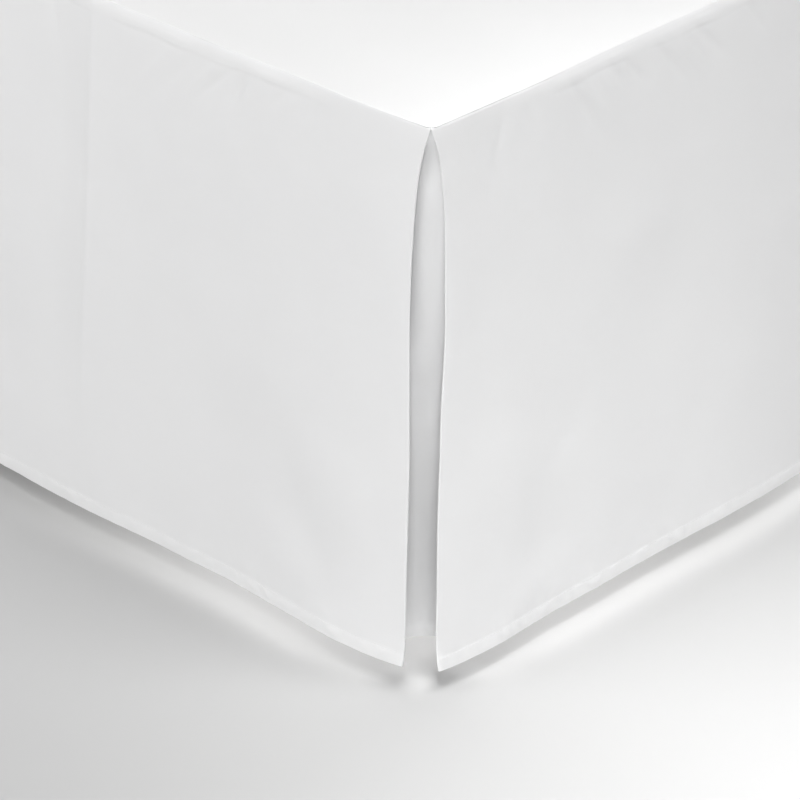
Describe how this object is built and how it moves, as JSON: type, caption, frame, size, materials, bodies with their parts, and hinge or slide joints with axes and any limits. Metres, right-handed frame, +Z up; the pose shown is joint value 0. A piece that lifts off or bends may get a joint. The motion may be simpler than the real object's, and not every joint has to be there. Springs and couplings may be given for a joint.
{
  "type": "bed skirt on a bed base",
  "caption": "Tailored bed skirt with a flat deck, straight drops and open corner pleats backed by inserts, hanging from a plain box base on legs.",
  "frame": {"origin": "on the floor, at the middle of the bed's length and width", "axes": "+Z up, +Y along the bed towards its head, +X across it to the right for someone who looks from the foot to the head"},
  "size_m": [1.5306, 2.0358, 0.4],
  "materials": {
    "drop_cloth": "plain-woven white cotton percale, matt, pressed",
    "deck_cloth": "plain-woven white cloth, matt, lying flat",
    "base_ticking": "plain pale ticking stretched over a box base, matt",
    "leg_wood": "turned wood, satin"
  },
  "bodies": {
    "root": {"deck": "deck_cloth", "drop_foot": "drop_cloth", "drop_left": "drop_cloth", "drop_right": "drop_cloth", "insert_left": "drop_cloth", "insert_right": "drop_cloth", "base": "base_ticking", "leg_left_foot": "leg_wood", "leg_left_middle": "leg_wood", "leg_left_head": "leg_wood", "leg_right_foot": "leg_wood", "leg_right_middle": "leg_wood", "leg_right_head": "leg_wood"}
  },
  "joints": []
}
